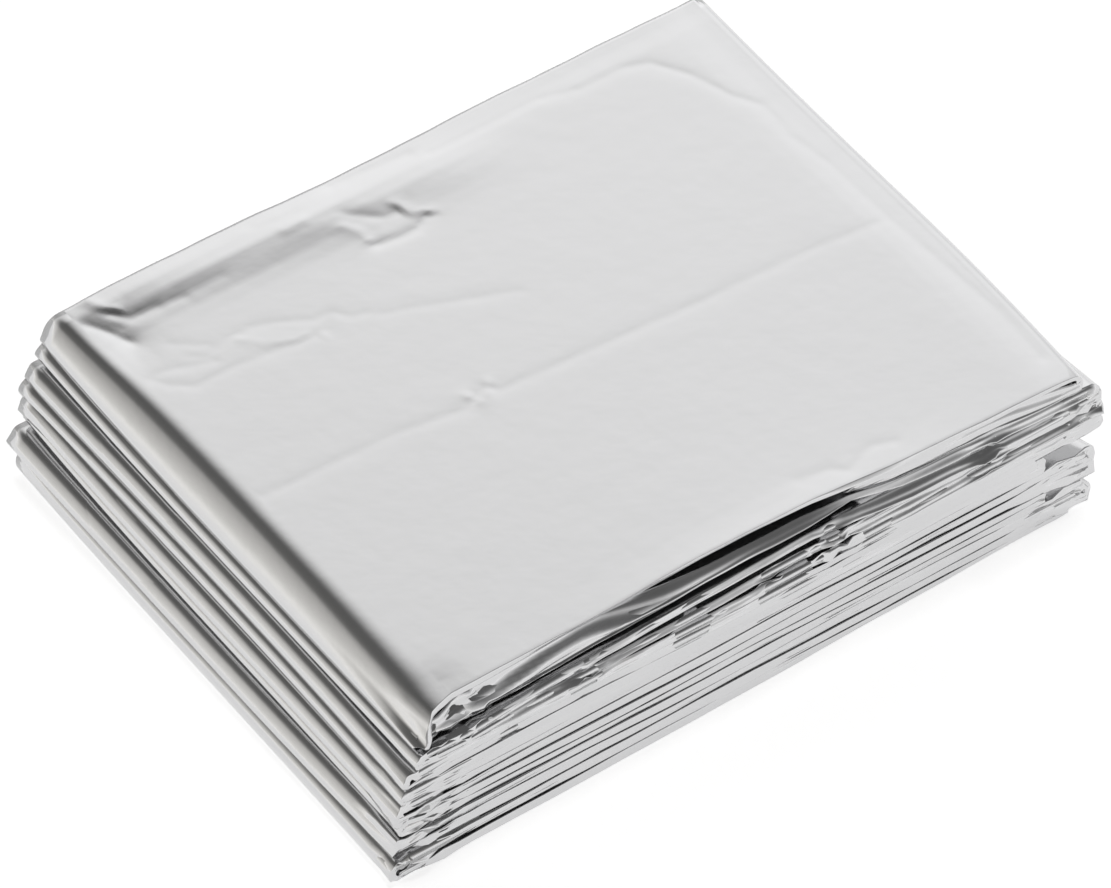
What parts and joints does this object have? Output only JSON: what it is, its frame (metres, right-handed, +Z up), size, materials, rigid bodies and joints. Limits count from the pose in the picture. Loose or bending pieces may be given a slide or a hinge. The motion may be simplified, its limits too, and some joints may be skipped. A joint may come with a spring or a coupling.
{
  "type": "folded emergency foil blanket",
  "caption": "Silver metallised film blanket, folded lengthwise into a strip and zigzagged into a flat rectangular packet.",
  "frame": {"origin": "centre of the packet's underside, on the surface it lies on", "axes": "+X along the packet's long side, away from its visible folds; +Y along the folds; +Z up"},
  "size_m": [0.134, 0.1043, 0.0308],
  "materials": {
    "aluminised_film": "thin polyester film with a bright, slightly crinkled aluminium coat"
  },
  "bodies": {
    "root": {"foil_blanket": "aluminised_film"}
  },
  "joints": []
}
